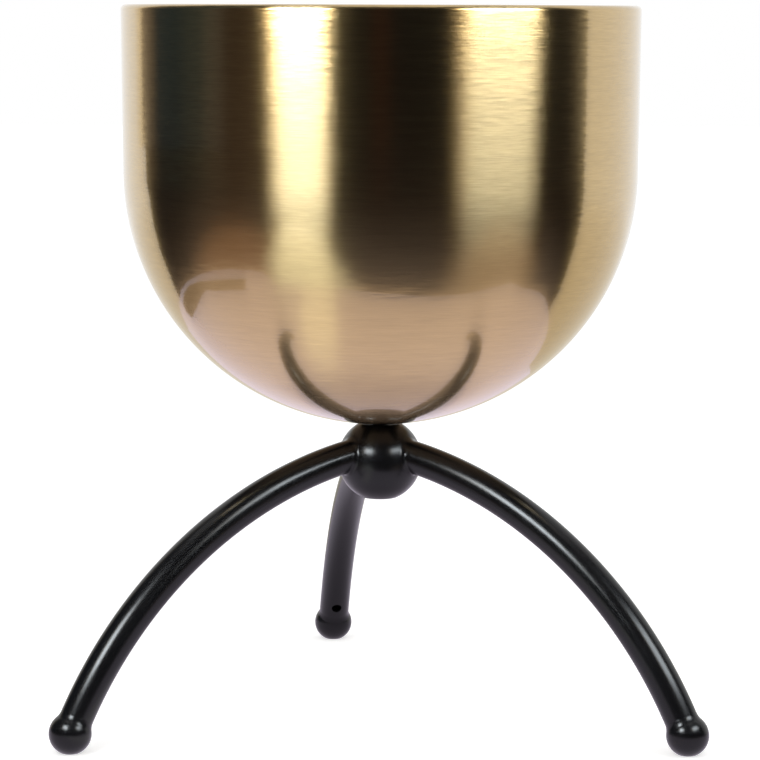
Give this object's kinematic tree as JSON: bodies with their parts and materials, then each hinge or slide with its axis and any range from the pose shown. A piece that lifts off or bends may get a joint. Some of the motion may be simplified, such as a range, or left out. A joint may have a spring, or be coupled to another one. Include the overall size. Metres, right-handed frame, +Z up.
{
  "type": "plant stand",
  "caption": "Round brass-finish bowl planter, open at the top, on a black tripod of bent tube legs that meet at a ball hub and stand on ball feet.",
  "frame": {"origin": "on the floor, at the middle of the object's footprint box; the bowl's upright axis stands at x 0, y -0.0215 m", "axes": "+Z up along the bowl's axis, -Y the front that the picture shows, +X to the right seen from the front"},
  "size_m": [0.2452, 0.243, 0.2761],
  "materials": {
    "brass_bowl": "fine circular brushing under clear lacquer",
    "black_coat": "semi-gloss black powder coat",
    "zinc_plate": "bright zinc plate",
    "seal_rubber": "matt black rubber"
  },
  "bodies": {
    "root": {"bowl": "brass_bowl", "hub_ball": "black_coat", "leg_tube_left": "black_coat", "leg_tube_right": "black_coat", "leg_tube_back": "black_coat", "foot_ball_left": "black_coat", "foot_ball_right": "black_coat", "foot_ball_back": "black_coat", "hub_weld_left": "black_coat", "hub_weld_right": "black_coat", "hub_weld_back": "black_coat", "foot_weld_left": "black_coat", "foot_weld_right": "black_coat", "foot_weld_back": "black_coat", "bowl_screw": "zinc_plate", "screw_washer": "zinc_plate", "sealing_washer": "seal_rubber"}
  },
  "joints": []
}
